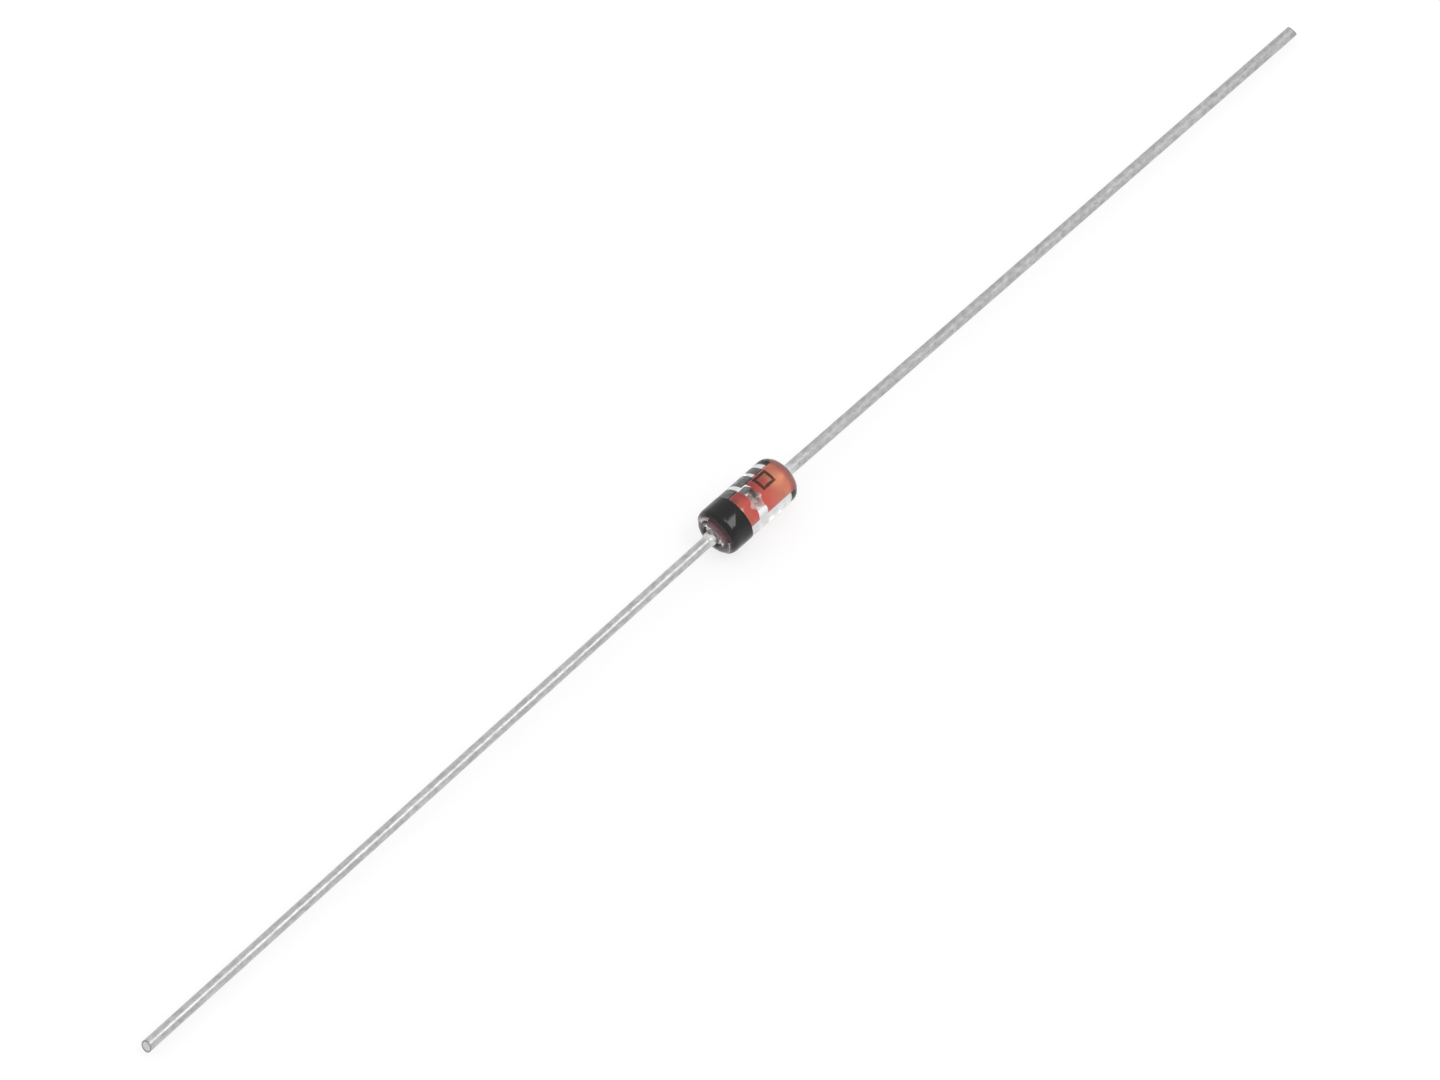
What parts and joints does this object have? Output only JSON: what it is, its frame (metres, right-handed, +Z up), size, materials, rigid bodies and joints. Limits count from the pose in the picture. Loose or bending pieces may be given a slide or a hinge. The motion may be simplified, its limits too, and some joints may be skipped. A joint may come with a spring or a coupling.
{
  "type": "zener diode",
  "caption": "Glass axial diode: a clear sleeve sealed on two copper-clad slugs with the die between them, a black cathode band, and long straight tinned leads.",
  "frame": {"origin": "centre of the glass sleeve, on its axis", "axes": "+X along the body from cathode to anode, +Z up with the diode lying on its glass"},
  "size_m": [0.0618, 0.002, 0.002],
  "materials": {
    "clear_glass": "clear, fire-polished",
    "band_paint": "black marking paint, satin",
    "slug_copper": "copper skin with a red oxide film under the glass",
    "die_silicon": "sawn silicon, grey",
    "bump_silver": "plated silver, satin",
    "lead_tin": "tinned, satin with faint draw marks"
  },
  "bodies": {
    "root": {"glass_sleeve": "clear_glass", "cathode_band": "band_paint", "cathode_slug": "slug_copper", "anode_slug": "slug_copper", "zener_die": "die_silicon", "die_bump": "bump_silver", "cathode_lead": "lead_tin", "anode_lead": "lead_tin"}
  },
  "joints": []
}
